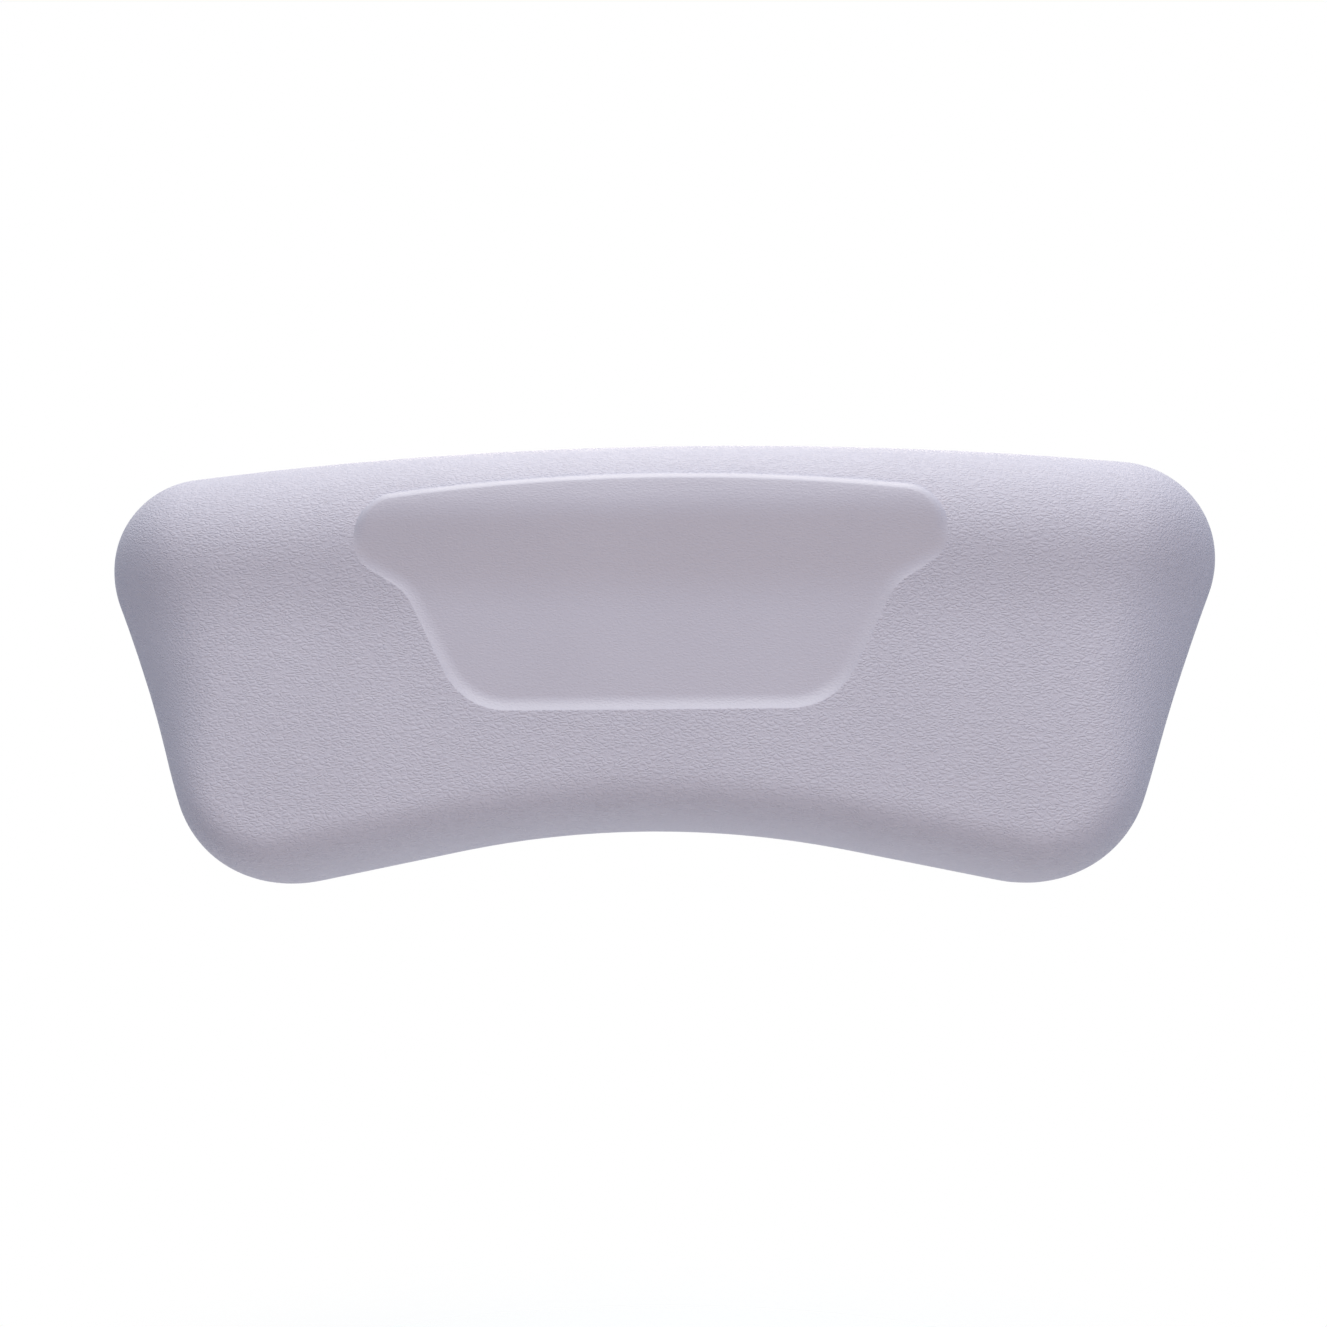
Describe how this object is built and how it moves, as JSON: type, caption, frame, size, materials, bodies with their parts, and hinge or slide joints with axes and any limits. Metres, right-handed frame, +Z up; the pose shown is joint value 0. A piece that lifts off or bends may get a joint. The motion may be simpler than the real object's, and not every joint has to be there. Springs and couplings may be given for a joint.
{
  "type": "hot tub headrest",
  "caption": "Moulded foam headrest pillow for a hot tub, with grained skin, a smooth badge-shaped front panel and sliding snap pegs on a carrier plate behind.",
  "frame": {"origin": "middle of the carrier plate's back face, on the line of the pegs, in the plane of the tub wall", "axes": "+X to the viewer's right across the width, -Y out of the front, +Y into the tub wall, +Z up"},
  "size_m": [0.3196, 0.082, 0.1259],
  "materials": {
    "grained_skin": "fine grained moulded polyurethane skin, satin, with a smooth panel",
    "foam": "open cell moulded polyurethane foam",
    "plate_plastic": "fine textured injection moulded plastic",
    "keeper_plastic": "satin injection moulded plastic",
    "peg_plastic": "natural acetal, satin",
    "ring_rubber": "moulded rubber, dull",
    "screw_steel": "stainless steel, cold formed"
  },
  "bodies": {
    "headrest": {"outer_skin": "grained_skin", "foam_core": "foam", "carrier_plate": "plate_plastic", "keeper_left": "keeper_plastic", "keeper_right": "keeper_plastic", "keeper_screw_left_outer": "screw_steel", "keeper_screw_left_inner": "screw_steel", "keeper_screw_right_inner": "screw_steel", "keeper_screw_right_outer": "screw_steel"},
    "left_peg": {"peg_left": "peg_plastic", "peg_ring_left": "ring_rubber"},
    "right_peg": {"peg_right": "peg_plastic", "peg_ring_right": "ring_rubber"}
  },
  "joints": [
    {"name": "left_peg_slide", "type": "slide", "parent": "headrest", "child": "left_peg", "axis": [1, 0, 0], "range_m": [-0.003, 0.003]},
    {"name": "right_peg_slide", "type": "slide", "parent": "headrest", "child": "right_peg", "axis": [1, 0, 0], "range_m": [-0.003, 0.003]}
  ]
}
